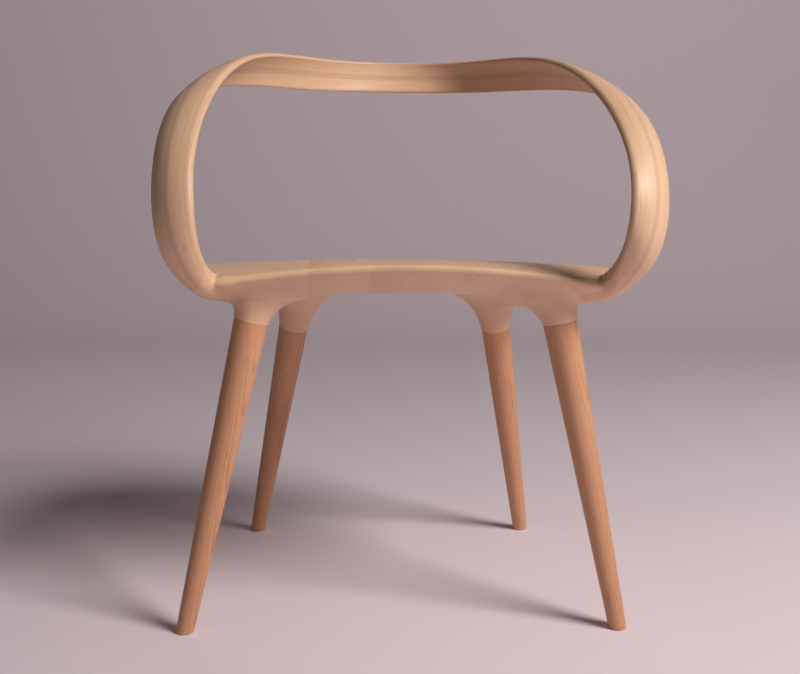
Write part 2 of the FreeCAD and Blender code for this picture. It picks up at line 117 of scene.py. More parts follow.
# Places of the band's edges at each station, as shares of its half span, depth and rise
UPPER_EDGE_SHARES = [
    (0.695, 0.235, 0.075), (0.785, 0.133, 0.098), (0.824, 0.000, 0.286), (0.835, 0.035, 0.546),
    (0.788, 0.274, 0.803), (0.662, 0.604, 0.974), (0.388, 0.891, 1.000), (0.000, 1.000, 0.993),
]
LOWER_EDGE_SHARES = [
    (0.725, 0.365, 0.045), (0.835, 0.243, 0.018), (0.963, 0.068, 0.181), (1.000, 0.079, 0.490),
    (0.960, 0.309, 0.753), (0.781, 0.639, 0.855), (0.435, 0.915, 0.862), (0.000, 0.991, 0.855),
]

# How far the laminations have thinned at a station
PLY_TAPER_SHARES = [(0.0, 0.0), (1.0, 0.0), (1.6, 0.62), (2.2, 0.92), (3.0, 1.0)]

# Legs and the blocks over them

LEG_TOP_RADIUS = 0.02025
LEGS = {
    "front": {
        "side_inset": 0.062, "from_front": 0.055, "drop": 0.0314,
        "splay": 0.083, "rake": 0,
        "inner_reach": 0.099, "outer_reach": 0.038, "front_reach": 0.030, "back_reach": 0.056,
    },
    "back": {
        "side_inset": 0.099, "from_front": SEAT_DEPTH - 0.055, "drop": 0.0549,
        "splay": 0.061, "rake": 0.113,
        "inner_reach": 0.075, "outer_reach": 0.063, "front_reach": 0.075, "back_reach": 0.045,
    },
}
BLOCK_SWELL = 0.19

# How far a block's field reaches past its joint, into the seat, inside the seat's edge, and
# round about
JOINT_OVERRUN = 0.005
BLOCK_SINK = 0.004
BLOCK_SETBACK = 0.006
BLOCK_RANGE = 0.150

# How softly the carved forms run into each other. Band and seat have one fillet above the
# seat's top and another under it; a front block has one toward the band and another elsewhere.
NOTCH_FILLET = 0.004
UNDER_FILLET = 0.014
UNDER_TO_NOTCH = (-0.030, -0.002)
BLOCK_FILLET = 0.0015
HORN_FILLET = 0.016
BLOCK_TO_HORN = (0.0, 0.03)

# Grid of the skin: the coarse cells find where it runs, the fine ones hold it
FINE_STEP = 0.0020
COARSE_FACTOR = 5
NEAR_CELLS = 1.35
SKIN_LOW = (-0.292, -0.276, 0.318)
SKIN_HIGH = (0.292, 0.276, 0.716)
PULL_ROUNDS = 2
LEAST_STEEP = 0.1

# How near the cut at a joint a vertex counts as on it, and how far under it as below
WELD_GAP = 1e-6
CUT_GAP = 1e-5
TINY = 1e-9


def mix(start, end, share):
    return start + (end - start) * share


def ramp(value, low, high):
    """Smooth rise from 0 at low to 1 at high."""
    share = np.clip((value - low) / (high - low), 0, 1)
    return share * share * (3 - 2 * share)


def behind_front(y, span):
    """Smooth rise over a span behind the seat's front edge."""
    return ramp(y, SEAT_FRONT_Y + span[0], SEAT_FRONT_Y + span[1])


def unit(vectors):
    return vectors / np.linalg.norm(vectors, axis=-1, keepdims=True)


# Smooth joins of distance fields

def meet(a, b, radius):
    """Common part of two fields, its edge rounded over."""
    soft = np.sqrt(np.maximum(a + radius, 0) ** 2 + np.maximum(b + radius, 0) ** 2)
    return np.minimum(np.maximum(a, b), -radius) + soft


def join(a, b, radius):
    """Sum of two fields, with a fillet in the corner between them."""
    soft = np.sqrt(np.maximum(radius - a, 0) ** 2 + np.maximum(radius - b, 0) ** 2)
    return np.maximum(np.minimum(a, b), radius) - soft


# Seat

def seat_top(x, y):
    """The top: dished, falling to the back, with a lip and a crown along the front."""
    from_front = y - SEAT_FRONT_Y
    lip = np.clip((SEAT_LIP_DEPTH - from_front) / SEAT_LIP_DEPTH, 0, 2)
    back = np.clip((from_front - SEAT_LIP_DEPTH) / (SEAT_DEPTH - SEAT_LIP_DEPTH), 0, 1.2)
    share = np.clip(from_front / SEAT_DEPTH, 0, 1)
    crown = SEAT_FRONT_CROWN * (1 - share) ** SEAT_CROWN_POWER + SEAT_SIDE_FALL * share
    height = SEAT_BOTTOM_HEIGHT + SEAT_THICKNESS - SEAT_LIP_DROP * lip ** 2
    dish = SEAT_DISH * np.sin(np.pi * np.minimum(back, 1)) ** 2
    height -= SEAT_FALL * back ** SEAT_FALL_POWER + dish
    return height - crown * (x / SEAT_HALF_WIDTH) ** 2


def seat_bottom(y):
    return SEAT_BOTTOM_HEIGHT - SEAT_SLOPE * (y - SEAT_FRONT_Y)


def seat_side(x, y):
    """Distance past the seat's outline, seen from above."""
    half_depth = SEAT_DEPTH / 2
    from_middle = y - (SEAT_FRONT_Y + half_depth)
    radius = np.where(from_middle < 0, SEAT_FRONT_CORNER_RADIUS, SEAT_BACK_CORNER_RADIUS)
    over_x = np.abs(x) - SEAT_HALF_WIDTH - SEAT_SIDE_SWELL + radius
    over_y = np.abs(from_middle) - half_depth + radius
    beyond = np.hypot(np.maximum(over_x, 0), np.maximum(over_y, 0))
    return beyond + np.minimum(np.maximum(over_x, over_y), 0) - radius


def seat_under(x, y):
    """The underside: flat in the middle and carved up to a lip all round, thin at the front."""
    share = np.clip(-seat_side(x, y) / UNDERCUT_DEPTH, *UNDERCUT_SHARES)
    along = (y - RAIL_FRONT[1]) / (RAIL_BACK[1] - RAIL_FRONT[1])
    off_rail = (np.abs(x) - mix(RAIL_FRONT[0], RAIL_BACK[0], along)) / RAIL_WIDTH
    rail = RAIL_DROP * np.exp(-off_rail ** 2)
    rail = rail * ramp(along, *RAIL_FRONT_FADE) * ramp(along, *RAIL_BACK_FADE)
    low = seat_bottom(y) - rail
    corner_rim = behind_front(y, CORNER_RIM_SPAN) * ramp(np.abs(x), *CORNER_RIM_FROM_MIDDLE)
    own_rim = np.maximum(corner_rim, behind_front(y, SIDE_RIM_SPAN))
    rim = mix(seat_top(x, SEAT_FRONT_Y), seat_top(x, y), own_rim)
    lip = mix(FRONT_LIP, SIDE_LIP, behind_front(y, LIP_SPAN))
    cut = np.maximum(rim - lip - low, 0)
    return low + cut * (1 - share) ** UNDERCUT_POWER


def seat_field(p):
    """The seat: a rounded plan, a dished top, a carved underside and rounded edges."""
    x, y, z = p.T
    side = seat_side(x, y)
    edge_round = mix(FRONT_EDGE_ROUND, SEAT_EDGE_ROUND, behind_front(y, EDGE_ROUND_SPAN))
    edge = meet(side, z - seat_top(x, y), edge_round)
    step = 0.0005
    steep = np.hypot(seat_under(x, y + step) - seat_under(x, y - step),
                     seat_under(x + step, y) - seat_under(x - step, y)) / (2 * step)
    lower_round = mix(FRONT_LOWER_ROUND, SEAT_LOWER_ROUND, behind_front(y, LOWER_ROUND_SPAN))
    return meet(edge, (seat_under(x, y) - z) / np.sqrt(1 + steep ** 2), lower_round)


# Band

def cubic_through(points):
    """A natural cubic through the points: a function of station that gives place and slope."""
    points = np.asarray(points, float)
    count = len(points)
    system = np.eye(count)
    bends = np.zeros_like(points)
    for i in range(1, count - 1):
        system[i, i - 1:i + 2] = (1 / 6, 2 / 3, 1 / 6)
        bends[i] = points[i + 1] - 2 * points[i] + points[i - 1]
    bends = np.linalg.solve(system, bends)

    def at(stations):
        i = np.clip(stations.astype(int), 0, count - 2)
        u = (stations - i)[:, None]
        v = 1 - u
        low, high = points[i], points[i + 1]
        bend, next_bend = bends[i], bends[i + 1]
        place = low * v + high * u + ((v ** 3 - v) * bend + (u ** 3 - u) * next_bend) / 6
        slope = high - low + ((1 - 3 * v ** 2) * bend + (3 * u ** 2 - 1) * next_bend) / 6
        return place, slope

    return at


def mirrored(shares):
    """Places of an edge from the right root over the middle to the left root."""
    across, back, up = np.array(shares).T
    half = np.stack([
        across * BAND_HALF_SPAN, BAND_FRONT_Y + back * BAND_DEPTH, BAND_LOW + up * BAND_RISE,
    ], 1)
    return np.vstack([half, half[-2::-1] * (-1, 1, 1)])


class Band:
    """The band's middle line and sections, sampled finely along its stations."""

    STEPS_PER_STATION = 60
    COARSE_STEPS = 6
    CHUNK = 100000
    LOCATE_ROUNDS = 4
    LONGEST_MOVE = 0.5
    WIDEST_SHARE = 1.5

    def __init__(self):
        upper = cubic_through(mirrored(UPPER_EDGE_SHARES))
        lower = cubic_through(mirrored(LOWER_EDGE_SHARES))
        self.last = 2 * (len(UPPER_EDGE_SHARES) - 1)
        stations = np.linspace(0, self.last, self.last * self.STEPS_PER_STATION + 1)
        first, first_slope = upper(stations)
        second, second_slope = lower(stations)
        across = unit(second - first)
        outward = unit(np.cross(across, unit(first_slope) + unit(second_slope)))
        run = np.cross(outward, across)
        middle = (first + second) / 2
        speed = ((first_slope + second_slope) / 2 * run).sum(1)
        half = np.linalg.norm(second - first, axis=1) / 2
        taper = np.interp(np.minimum(stations, self.last - stations), *np.array(PLY_TAPER_SHARES).T)
        ply = mix(ROOT_PLY_THICKNESS, PLY_THICKNESS, taper)
        pieces = np.linalg.norm(np.diff(middle, axis=0), axis=1)
        length = np.concatenate([[0], np.cumsum(pieces)])
        self.rows = np.column_stack([middle, across, outward, run, speed, half, ply, length])

    def at(self, stations):
        """Middle, across, outward and run, then speed, half width, ply thickness and length."""
        place = stations * self.STEPS_PER_STATION
        i = np.clip(place.astype(int), 0, len(self.rows) - 2)
        row = mix(self.rows[i], self.rows[i + 1], (place - i)[:, None])
        vectors = (row[:, 0:3], row[:, 3:6], row[:, 6:9], row[:, 9:12])
        return vectors + tuple(row[:, 12:].T)

    def locate(self, p):
        """Each point's station, its offsets across, outward and off the ends, then the sizes."""
        coarse = self.rows[::self.COARSE_STEPS, 0:3]
        nearest = np.empty(len(p), int)
        for start in range(0, len(p), self.CHUNK):
            chunk = p[start:start + self.CHUNK]
            gaps = (coarse ** 2).sum(1) - 2 * chunk @ coarse.T
            nearest[start:start + self.CHUNK] = gaps.argmin(1)
        stations = nearest * self.COARSE_STEPS / self.STEPS_PER_STATION
        for _ in range(self.LOCATE_ROUNDS):
            middle, _, _, run, speed, _, _, _ = self.at(stations)
            move = ((p - middle) * run).sum(1) / speed
            move = np.clip(move, -self.LONGEST_MOVE, self.LONGEST_MOVE)
            stations = np.clip(stations + move, 0, self.last)
        middle, across, outward, run, _, half, ply, length = self.at(stations)
        gap = p - middle
        offsets = [(gap * way).sum(1) for way in (across, outward, run)]
        return stations, *offsets, half, ply, length

    def field(self, p):
        """The band: a cupped inner face, a domed outer face and rounded edges."""
        stations, across, outward, off, half, ply, _ = self.locate(p)
        flank = half - BAND_EDGE_EASE
        share = np.minimum((across / flank) ** 2, self.WIDEST_SHARE)
        slope = 2 * ply * across / flank ** 2
        inner = ply * (INNER_CROWN * share - SPINE_LEVEL) - outward
        outer = outward - ply * (PLY_COUNT - SPINE_LEVEL - OUTER_CROWN * share)
        inner = inner / np.hypot(1, INNER_CROWN * slope)
        outer = outer / np.hypot(1, OUTER_CROWN * slope)
        body = meet(np.maximum(inner, outer), np.abs(across) - half, EDGE_ROUND)
        past_start = np.where(stations <= 0, -off, -1)
        past_end = np.where(stations >= self.last, off, -1)
        return np.maximum(body, np.maximum(past_start, past_end))


BAND = Band()


# Blocks over the legs

def swell(share):
    """How much of its flare a block has at a share of its height; it ends level on top."""
    half = BLOCK_SWELL + (1 - share) / 2
    return (half - np.sqrt(half ** 2 - BLOCK_SWELL ** 2 * share)) / BLOCK_SWELL


def share_of_swell(part):
    """The share of its height at which a block has a part of its flare."""
    return 1 - BLOCK_SWELL * (1 - part) ** 2 / (BLOCK_SWELL + part)


class Leg:
    """Where a leg meets its block, and the block's form round its upper end."""

    SETTLE_ROUNDS = 3
    HEIGHT_SHARES = (-0.4, 1)
    FLARE_SHARES = (-0.1, 1)

    def __init__(self, row, side):
        sizes = LEGS[row]
        x = side * (SEAT_HALF_WIDTH - sizes["side_inset"])
        y = SEAT_FRONT_Y + sizes["from_front"]
        self.name = "leg_%s_%s" % (row, "left" if side < 0 else "right")
        self.side = side
        self.joint = np.array([x, y, seat_bottom(y) - sizes["drop"]])
        self.foot = np.array([x + side * sizes["splay"], y + sizes["rake"], 0])
        self.axis = unit(self.joint - self.foot)
        self.rise = sizes["drop"] / (self.axis[2] + SEAT_SLOPE * self.axis[1])
        self.reach = [sizes[name + "_reach"] for name in ("inner", "outer", "front", "back")]

    def block_field(self, p):
        """The block swells from the leg's round to its footprint under the seat."""
        inner, outer, front, back = self.reach
        lean = self.axis[:2] / self.axis[2]
        tilt = np.linalg.norm(lean)
        lean_way = lean / tilt
        share = (p[:, 2] - self.joint[2]) / (self.axis[2] * self.rise)
        share = np.clip(share, *self.HEIGHT_SHARES)
        for _ in range(self.SETTLE_ROUNDS):
            gap = p[:, :2] - self.joint[:2] - self.axis[:2] * (self.rise * share)[:, None]
            radius = np.linalg.norm(gap, axis=1) + TINY
            way = gap / radius[:, None]
            along = way @ lean_way
            round_reach = LEG_TOP_RADIUS / np.sqrt(1 + (tilt * along) ** 2)
            base = self.joint[2] - tilt * along * round_reach
            height = seat_under(p[:, 0], p[:, 1]) - base
            share = np.clip((p[:, 2] - base) / height, *self.HEIGHT_SHARES)
        reach_x = np.where(way[:, 0] * self.side > 0, outer, inner)
        reach_y = np.where(way[:, 1] > 0, back, front)
        flare = reach_x * way[:, 0] ** 2 + reach_y * way[:, 1] ** 2
        out = np.clip((radius - round_reach) / flare, *self.FLARE_SHARES)
        level_gap = (out - swell(share)) * flare
        upright_gap = (share_of_swell(out) - share) * height
        gap = level_gap * np.abs(upright_gap) / (np.hypot(level_gap, upright_gap) + TINY)
        beyond = np.maximum(radius - round_reach - flare, 0)
        gap = np.where(beyond > 0, np.hypot(gap, beyond), gap)
        past_joint = -JOINT_OVERRUN - (p - self.joint) @ self.axis
        past_edge = seat_side(p[:, 0], p[:, 1]) + BLOCK_SETBACK
        gap = np.maximum(gap, np.maximum(past_joint, past_edge))
        return np.maximum(gap, p[:, 2] - base - height - BLOCK_SINK)


LEG_PLACES = [Leg(row, side) for row in LEGS for side in (-1, 1)]


def carved_field(p):
    """The whole carved form: seat, band and blocks."""
    over_top = p[:, 2] - seat_top(p[:, 0], p[:, 1])
    fillet = mix(UNDER_FILLET, NOTCH_FILLET, ramp(over_top, *UNDER_TO_NOTCH))
    body = join(seat_field(p), BAND.field(p), fillet)
    for leg in LEG_PLACES:
        near = np.linalg.norm(p - leg.joint, axis=1) < BLOCK_RANGE
        outward = leg.side * (p[near, 0] - leg.joint[0]) * (leg.joint[1] < 0)
        fillet = mix(BLOCK_FILLET, HORN_FILLET, ramp(outward, *BLOCK_TO_HORN))
        body[near] = join(body[near], leg.block_field(p[near]), fillet)
    return body


# Skin of a distance field

def near_cells(low, shape):
    """Coarse cells that the skin may pass through."""
    step = FINE_STEP * COARSE_FACTOR
    index = np.indices(shape).reshape(3, -1).T
    centres = low + (index + 0.5) * step
    close = np.abs(carved_field(centres)) < step * NEAR_CELLS
    return index[close]


def skin(low, high):
    """Vertices and four-sided faces where the field is zero, one vertex in each cell it crosses."""
    step = FINE_STEP
    coarse = np.ceil((high - low) / (step * COARSE_FACTOR)).astype(int)
    cells = near_cells(low, coarse)
    shape = coarse * COARSE_FACTOR + 1
    values = np.full(shape, 1.0, np.float32)
    block = np.indices((COARSE_FACTOR + 1,) * 3).reshape(3, -1).T
    flat = (cells[:, None, :] * COARSE_FACTOR + block).reshape(-1, 3)
    keys = np.unique(np.ravel_multi_index(flat.T, shape))
    nodes = np.stack(np.unravel_index(keys, shape), 1)
    values.ravel()[keys] = carved_field(low + nodes * step)
    known = np.zeros(shape, bool)
    known.ravel()[keys] = True

    corner = np.indices((2, 2, 2)).reshape(3, -1).T
    cell = nodes[(nodes < shape - 1).all(1)]
    corners = cell[:, None, :] + corner
    flat = np.ravel_multi_index(corners.reshape(-1, 3).T, shape).reshape(-1, len(corner))
    field = values.ravel()[flat]
    inside = field < 0
    crossed = inside.any(1) & ~inside.all(1) & known.ravel()[flat].all(1)
    cell, field, flat = cell[crossed], field[crossed], flat[crossed]
    total = np.zeros((len(cell), 3))
    hits = np.zeros((len(cell), 1))
    for a, b in itertools.combinations(range(len(corner)), 2):
        if np.abs(corner[a] - corner[b]).sum() != 1:
            continue
        fa, fb = field[:, a], field[:, b]
        cut = (fa < 0) != (fb < 0)
        share = np.where(cut, fa / np.where(cut, fa - fb, 1), 0)[:, None]
        total += np.where(cut[:, None], corner[a] + share * (corner[b] - corner[a]), 0)
        hits += cut[:, None]
    verts = low + (cell + total / hits) * step

    here = flat[:, 0]
    number = np.full(np.prod(shape), -1, np.int64)
    number[here] = np.arange(len(cell))
    faces = []
    values = values.ravel()
    strides = np.array([shape[1] * shape[2], shape[2], 1])
    for axis in range(3):
        u, v = strides[(axis + 1) % 3], strides[(axis + 2) % 3]
        start, end = values[here], values[here + strides[axis]]
        cut = (start < 0) != (end < 0)
        base = here[cut]
        quad = np.stack([number[base - back] for back in (0, u, u + v, v)], 1)
        leaving = start[cut] >= 0
        quad[leaving] = quad[leaving][:, ::-1]
        faces.append(quad[(quad >= 0).all(1)])
    return verts, np.vstack(faces)


def slopes(p, step=2e-4):
    """Gradient of the field."""
    moves = np.eye(3) * step
    return np.stack([(carved_field(p + move) - carved_field(p - move)) / (2 * step)
                     for move in moves], 1)


def carved_skin():
    """The skin of the whole form, its vertices pulled onto the field's zero."""
    verts, faces = skin(np.array(SKIN_LOW), np.array(SKIN_HIGH))
    for _ in range(PULL_ROUNDS):
        slope = slopes(verts)
        steep = np.maximum((slope ** 2).sum(1, keepdims=True), LEAST_STEEP)
        move = carved_field(verts)[:, None] * slope / steep
        verts = verts - np.clip(move, -FINE_STEP, FINE_STEP)
    return verts, faces


def cut_at_joints(mesh):
    """Trim each block flat where its leg begins, and close the cut."""
    work = bmesh.new()
    work.from_mesh(mesh)
    reach = 2 * LEG_TOP_RADIUS
    for leg in LEG_PLACES:
        joint, axis = Vector(leg.joint), Vector(leg.axis)
        near = [f for f in work.faces if (f.calc_center_median() - joint).length < reach]
        verts = list({v for f in near for v in f.verts})
        edges = list({e for f in near for e in f.edges})
        bmesh.ops.bisect_plane(work, geom=verts + edges + near, dist=WELD_GAP, plane_co=joint,
                               plane_no=axis)
        below = [v for v in work.verts if (v.co - joint).length < reach
                 and (v.co - joint).dot(axis) < -CUT_GAP]
        bmesh.ops.delete(work, geom=below, context="VERTS")
        rim = [e for e in work.edges if e.is_boundary]
        bmesh.ops.contextual_create(work, geom=rim)
    work.to_mesh(mesh)
    work.free()


# Grain

BOARD_EDGES = (-CENTRE_BOARD_WIDTH / 2 - INNER_BOARD_WIDTH, -CENTRE_BOARD_WIDTH / 2,
               CENTRE_BOARD_WIDTH / 2, CENTRE_BOARD_WIDTH / 2 + INNER_BOARD_WIDTH)

# Where the growth rings are centred, as x and z, and how far the piece is moved along its grain
BOARD_PITHS = np.array([
    (-0.110, 0.330, 0.30), (-0.070, 0.180, 1.10), (-0.230, 0.395, 2.20), (0.270, 0.400, 3.10),
    (0.020, 0.428, 4.30),
])
BLOCK_PITHS = np.array([
    (-0.30, 0.30, 5.1), (0.33, 0.28, 6.4), (-0.25, 0.22, 7.2), (0.22, 0.25, 8.7),
])
BAND_PITH = 0.210

# How dark each piece is: the band, then the boards and the blocks
TONES = np.array([0.5, 0.25, 0.62, 0.45, 0.55, 0.3, 0.35, 0.4, 0.45, 0.5])
FIRST_BOARD_TONE = 1
FIRST_BLOCK_TONE = 6

# How much nearer the seat may be on the band's faces, and how far under the seat a block starts
BAND_MARGIN = 0.001
BLOCK_MARGIN = 0.004
NO_GLUE_LINE = 0.5


def lies_on_band(points):
    """Whether each point is on the free band, past its roots in the seat."""
    stations = BAND.locate(points)[0]
    past_root = np.minimum(stations, BAND.last - stations) > ROOT_STATION
    return past_root & (BAND.field(points) < seat_field(points) + BAND_MARGIN)


def add_attribute(mesh, name, kind, domain, values, field):
    attribute = mesh.attributes.new(name, kind, domain)
    attribute.data.foreach_set(field, np.ascontiguousarray(values, np.float32).ravel())


def read_places(items, name):
    places = np.empty(len(items) * 3, np.float32)
    items.foreach_get(name, places)
    return places.reshape(-1, 3).astype(float)


def read_whole(items, name):
    numbers = np.empty(len(items), np.int32)
    items.foreach_get(name, numbers)
    return numbers


def mark_grain(mesh):
    """Store the wood's coordinates and laminations on face corners, and tones on faces."""
    verts = read_places(mesh.vertices, "co")
    centres = read_places(mesh.polygons, "center")
    corner_vertex = read_whole(mesh.loops, "vertex_index")
    totals = read_whole(mesh.polygons, "loop_total")

    on_band = lies_on_band(centres)
    board = np.searchsorted(BOARD_EDGES, centres[:, 0])
    in_block = (seat_bottom(centres[:, 1]) - centres[:, 2] > BLOCK_MARGIN) & ~on_band
    from_legs = [np.linalg.norm(centres - leg.joint, axis=1) for leg in LEG_PLACES]
    nearest = np.argmin(from_legs, axis=0)
    pith = np.where(in_block[:, None], BLOCK_PITHS[nearest], BOARD_PITHS[board])
    tone = np.where(in_block, FIRST_BLOCK_TONE + nearest, FIRST_BOARD_TONE + board)
    tone = np.where(on_band, 0, tone)

    face_of = np.repeat(np.arange(len(totals)), totals)
    x, y, z = verts[corner_vertex].T
    pith_x, pith_z, moved = pith[face_of].T
    seat_grain = np.stack([x - pith_x, y + moved, z - pith_z], 1)
    _, across, outward, _, _, ply, length = BAND.locate(verts)
    band_grain = np.stack([across + BAND_PITH, length, outward], 1)[corner_vertex]
    grain = np.where(on_band[face_of, None], band_grain, seat_grain)
    level = (outward / ply)[corner_vertex] + SPINE_LEVEL
    level = np.where(on_band[face_of], level, NO_GLUE_LINE)
    add_attribute(mesh, "grain", "FLOAT_VECTOR", "CORNER", grain, "vector")
    add_attribute(mesh, "tone", "FLOAT", "FACE", TONES[tone], "value")
    add_attribute(mesh, "level", "FLOAT", "CORNER", level, "value")


# Wood finish

RING_GAP = 0.0030
RINGS = 0.24
FLECKS = 0.25
LEG_RING_GAP = 0.0032
LEG_RINGS = 0.30
LEG_FLECKS = 0.45
PLAIN_TONE = 0.5

# Where a turned piece lies in its ring pattern, and how far each leg moves on from the last
LEG_PITH = np.array((0.05, 0, 0.035))
LEG_PITH_STEP = np.array((0.021, 0.7, 0))
DOWEL_PITH = (0.1, 0, 0)
DOWEL_RUN = np.array((0.92, -0.37, 0.11))

# Noises: their stretch along the grain, then their scale, detail and roughness
SWAY = (0.12, 14.0)
FINE_SWAY = (0.05, 85.0)
PATCHES = (0.12, 20.0, 1.0)
FIBRES = (0.03, 900.0, 3.0, 0.6)
DRIFT = (0.25, 11.0)
DASHES = (0.09, 520.0, 1.0)

# How far the rings bend, and what part of each other noise counts
SWAY_BEND = 0.030
FINE_SWAY_BEND = 0.0042
PATCH_SPAN = (0.32, 0.62)
FIBRE_SPAN = (0.3, 0.75)
DRIFT_SPAN = (0.3, 0.7)
DASH_SPAN = (0.66, 0.74)

# Where in its year a ring darkens, and where it ends
RING_RISE = (0.62, 0.93)
RING_END = (1.0, 0.95)

# How much each of these adds toward the dark colour
PATCH_SHARE = 0.75
FIBRE_SHARE = 0.20
DRIFT_SHARE = 0.26
TONE_SHARE = 0.25
PALE_OFFSET = 0.12
GLUE_LINE_SHARE = 0.22
GLUE_LINE_DARKER = 0.62
GLUE_LINE_WIDTHS = (0.075, 0.02)

ROUGHNESS = 0.36
FIBRE_ROUGHNESS = 0.16
RING_ROUGHNESS = 0.05
FIBRE_HEIGHT = 0.7
RING_HEIGHT = -0.5
DASH_HEIGHT = -0.4
SPECULAR_LEVEL = 0.42
BUMP_STRENGTH = 0.16
BUMP_HEIGHT = 0.0004


class Graph:
    """Shorthand for a material's nodes: each call makes one node and links or sets its inputs."""

    def __init__(self, name):
        self.material = bpy.data.materials.new(name)
        self.material.use_nodes = True
        self.tree = self.material.node_tree
        self.shader = self.tree.nodes["Principled BSDF"]

    def put(self, socket, value):
        if isinstance(value, bpy.types.NodeSocket):
            self.tree.links.new(value, socket)
        else:
            socket.default_value = value

    def node(self, kind, inputs=(), out=0, **settings):
        node = self.tree.nodes.new("ShaderNode" + kind)
        for key, value in settings.items():
            setattr(node, key, value)
        for key, value in dict(inputs).items():
            self.put(node.inputs[key], value)
        return node.outputs[out]

    def math(self, operation, a, b=0.0, clamp=False):
        return self.node("Math", {0: a, 1: b}, operation=operation, use_clamp=clamp)

    def vector(self, operation, a, b):
        return self.node("VectorMath", {0: a, 1: b}, operation=operation)

    def noise(self, vector, along, scale, detail=2.0, roughness=0.5):
        """Noise that is stretched along the grain."""
        vector = self.vector("MULTIPLY", vector, (1.0, along, 1.0))
        inputs = {"Vector": vector, "Scale": scale, "Detail": detail, "Roughness": roughness}
        return self.node("TexNoise", inputs)

    def span(self, value, low, high):
        """Smooth rise from 0 at low to 1 at high."""
        inputs = {"Value": value, "From Min": low, "From Max": high}
        return self.node("MapRange", inputs, interpolation_type="SMOOTHSTEP")

    def blend(self, share, first, second):
        inputs = {0: share, 6: first, 7: second}
        return self.node("Mix", inputs, out=2, data_type="RGBA")

    def attribute(self, name, out=2):
        return self.node("Attribute", attribute_name=name, out=out)


def weighted(g, start, terms):
    """The start with each term added, times its weight."""
    for value, weight in terms:
        start = g.math("ADD", start, g.math("MULTIPLY", value, weight))
    return start


def wood(name, grain, pale, dark, ring_gap, flecks=FLECKS, rings=RINGS, stored=False):
    """Satin wood with growth rings, fine fibres, small flecks and a slow drift of tone.

    With stored, the tone and the glue lines come from the mesh.
    """
    g = Graph(name)
    grain = grain(g)
    tone = g.attribute("tone") if stored else PLAIN_TONE
    flat = g.vector("MULTIPLY", grain, (1.0, 0.0, 1.0))
    radius = g.node("VectorMath", {0: flat}, out=1, operation="LENGTH")
    for noise, bend in ((SWAY, SWAY_BEND), (FINE_SWAY, FINE_SWAY_BEND)):
        sway = g.math("SUBTRACT", g.noise(grain, *noise), 0.5)
        radius = g.math("ADD", radius, g.math("MULTIPLY", sway, bend))
    turn = g.math("FRACT", g.math("DIVIDE", radius, ring_gap))
    late = g.math("MULTIPLY", g.span(turn, *RING_RISE), g.span(turn, *RING_END))
    patch = g.span(g.noise(grain, *PATCHES), *PATCH_SPAN)
    late = g.math("MULTIPLY", late, g.math("MULTIPLY_ADD", patch, PATCH_SHARE))
    fibres = g.noise(grain, *FIBRES)
    drift = g.noise(grain, *DRIFT)
    dashes = g.span(g.noise(grain, *DASHES), *DASH_SPAN)

    amount = weighted(g, g.math("MULTIPLY", late, rings), (
        (g.span(fibres, *FIBRE_SPAN), FIBRE_SHARE), (g.span(drift, *DRIFT_SPAN), DRIFT_SHARE),
        (dashes, flecks), (tone, TONE_SHARE),
    ))
    amount = g.math("SUBTRACT", amount, PALE_OFFSET, clamp=True)
    colour = g.blend(amount, (*pale, 1), (*dark, 1))
    if stored:
        level = g.attribute("level")
        off_line = g.math("ABSOLUTE", g.math("SUBTRACT", level, g.math("ROUND", level)))
        line = g.math("MULTIPLY", g.span(off_line, *GLUE_LINE_WIDTHS), GLUE_LINE_SHARE)
        colour = g.blend(line, colour, (*[c * GLUE_LINE_DARKER for c in dark], 1))
    g.put(g.shader.inputs["Base Color"], colour)
    rough = weighted(g, ROUGHNESS, ((fibres, FIBRE_ROUGHNESS), (late, RING_ROUGHNESS)))
    g.put(g.shader.inputs["Roughness"], rough)
    height = g.math("MULTIPLY", fibres, FIBRE_HEIGHT)
    height = weighted(g, height, ((late, RING_HEIGHT), (dashes, DASH_HEIGHT)))
    bump = {"Strength": BUMP_STRENGTH, "Distance": BUMP_HEIGHT, "Height": height}
    g.put(g.shader.inputs["Normal"], g.node("Bump", bump))
    g.shader.inputs["Specular IOR Level"].default_value = SPECULAR_LEVEL
    return g.material


def stored_grain(g):
    return g.attribute("grain", out=1)


def grain_along(origin, axis, moved):
    """Grain that runs along an axis, for a straight turned piece."""
    across = unit(np.cross(axis, (0, 1, 0)))
    third = np.cross(across, axis)

    def coordinates(g):
        place = g.node("NewGeometry")
        place = g.vector("SUBTRACT", place, tuple(origin))
        parts = [g.node("VectorMath", {0: place, 1: tuple(way)}, out=1, operation="DOT_PRODUCT")
                 for way in (across, axis, third)]
        return g.vector("ADD", g.node("CombineXYZ", dict(enumerate(parts))), tuple(moved))

    return coordinates


MAPLE_PALE = (0.80, 0.52, 0.34)
MAPLE_DARK = (0.48, 0.255, 0.140)
LEG_PALE = (0.66, 0.335, 0.190)
LEG_DARK = (0.36, 0.150, 0.075)


def add_carved_form():
    """Seat, band and blocks in one piece."""
    verts, faces = carved_skin()
    mesh = bpy.data.meshes.new("carved_form")
    mesh.from_pydata(verts.tolist(), [], faces.tolist())
    cut_at_joints(mesh)
    mesh.shade_smooth()
    normals = unit(slopes(read_places(mesh.vertices, "co")))
    mesh.normals_split_custom_set_from_vertices(normals.tolist())
    mark_grain(mesh)
    mesh.materials.append(wood("pale_maple", stored_grain, MAPLE_PALE, MAPLE_DARK, RING_GAP,
                               stored=True))
    piece = bpy.data.objects.new("carved_form", mesh)
    bpy.context.scene.collection.objects.link(piece)
    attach(piece, "root")
    carved = ("seat_board", "band_ply", "leg_block")
    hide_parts(*[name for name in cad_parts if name.startswith(carved)])


